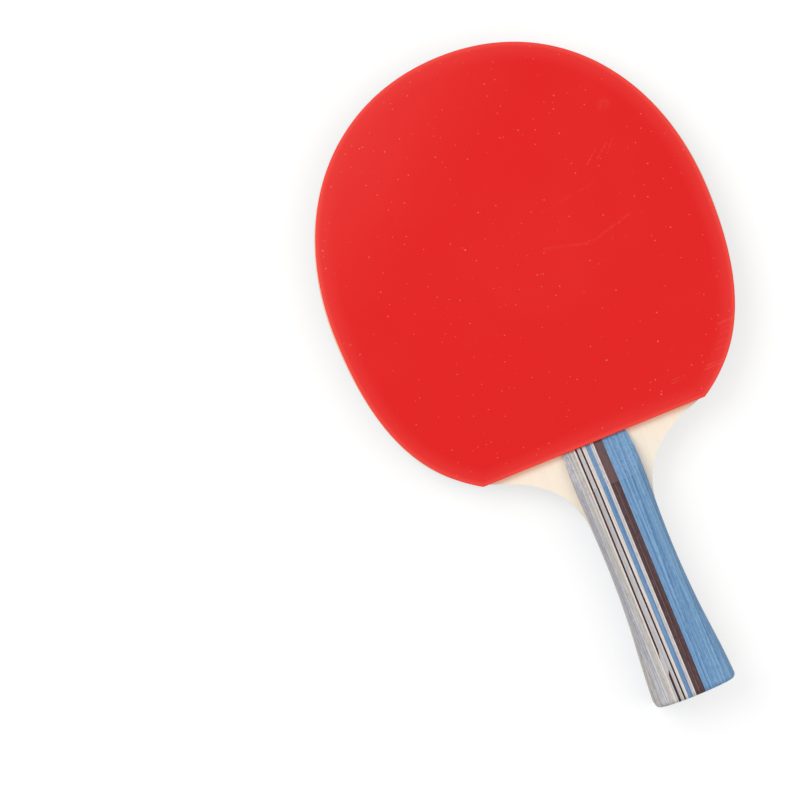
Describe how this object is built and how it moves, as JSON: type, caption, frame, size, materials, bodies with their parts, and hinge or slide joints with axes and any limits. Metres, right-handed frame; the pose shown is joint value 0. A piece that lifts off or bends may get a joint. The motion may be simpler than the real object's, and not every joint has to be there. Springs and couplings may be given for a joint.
{
  "type": "table tennis paddle",
  "caption": "Table tennis paddle with a five-ply wooden blade, red and black rubbers over sponge, and a flared handle of striped veneers.",
  "frame": {"origin": "centre of the bounding box in plan, at the lowest point of the back handle scale", "axes": "+Y along the paddle from the butt to the tip of the head, +Z out of the red face, +X to the right with the head up and the red face towards the viewer"},
  "size_m": [0.151, 0.2572, 0.0238],
  "materials": {
    "red_rubber": "satin",
    "black_rubber": "satin",
    "sponge": "matte",
    "core_wood": "matte",
    "inner_wood": "matte",
    "face_wood": "matte",
    "grey_veneer": "satin",
    "warm_grey_veneer": "satin",
    "pale_veneer": "satin",
    "dark_veneer": "satin",
    "cream_veneer": "satin",
    "blue_veneer": "satin",
    "brown_veneer": "satin"
  },
  "bodies": {
    "root": {"red_top_sheet": "red_rubber", "red_sponge": "sponge", "front_face_ply": "face_wood", "front_inner_ply": "inner_wood", "core_ply": "core_wood", "back_inner_ply": "inner_wood", "back_face_ply": "face_wood", "black_sponge": "sponge", "black_top_sheet": "black_rubber", "front_outer_grey_veneer": "warm_grey_veneer", "front_middle_grey_veneer": "grey_veneer", "front_inner_grey_veneer": "warm_grey_veneer", "front_pale_line": "pale_veneer", "front_left_dark_line": "dark_veneer", "front_spliced_dark_line": "dark_veneer", "front_pale_grey_strip": "grey_veneer", "front_middle_dark_line": "dark_veneer", "front_cream_strip": "cream_veneer", "front_narrow_blue_strip": "blue_veneer", "front_white_strip": "cream_veneer", "front_brown_strip": "brown_veneer", "front_inner_blue_veneer": "blue_veneer", "front_middle_blue_veneer": "blue_veneer", "front_outer_blue_veneer": "blue_veneer", "front_edge_blue_veneer": "blue_veneer", "back_outer_grey_veneer": "warm_grey_veneer", "back_middle_grey_veneer": "grey_veneer", "back_inner_grey_veneer": "warm_grey_veneer", "back_pale_line": "pale_veneer", "back_left_dark_line": "dark_veneer", "back_spliced_dark_line": "dark_veneer", "back_pale_grey_strip": "grey_veneer", "back_middle_dark_line": "dark_veneer", "back_cream_strip": "cream_veneer", "back_narrow_blue_strip": "blue_veneer", "back_white_strip": "cream_veneer", "back_brown_strip": "brown_veneer", "back_inner_blue_veneer": "blue_veneer", "back_middle_blue_veneer": "blue_veneer", "back_outer_blue_veneer": "blue_veneer", "back_edge_blue_veneer": "blue_veneer"}
  },
  "joints": []
}
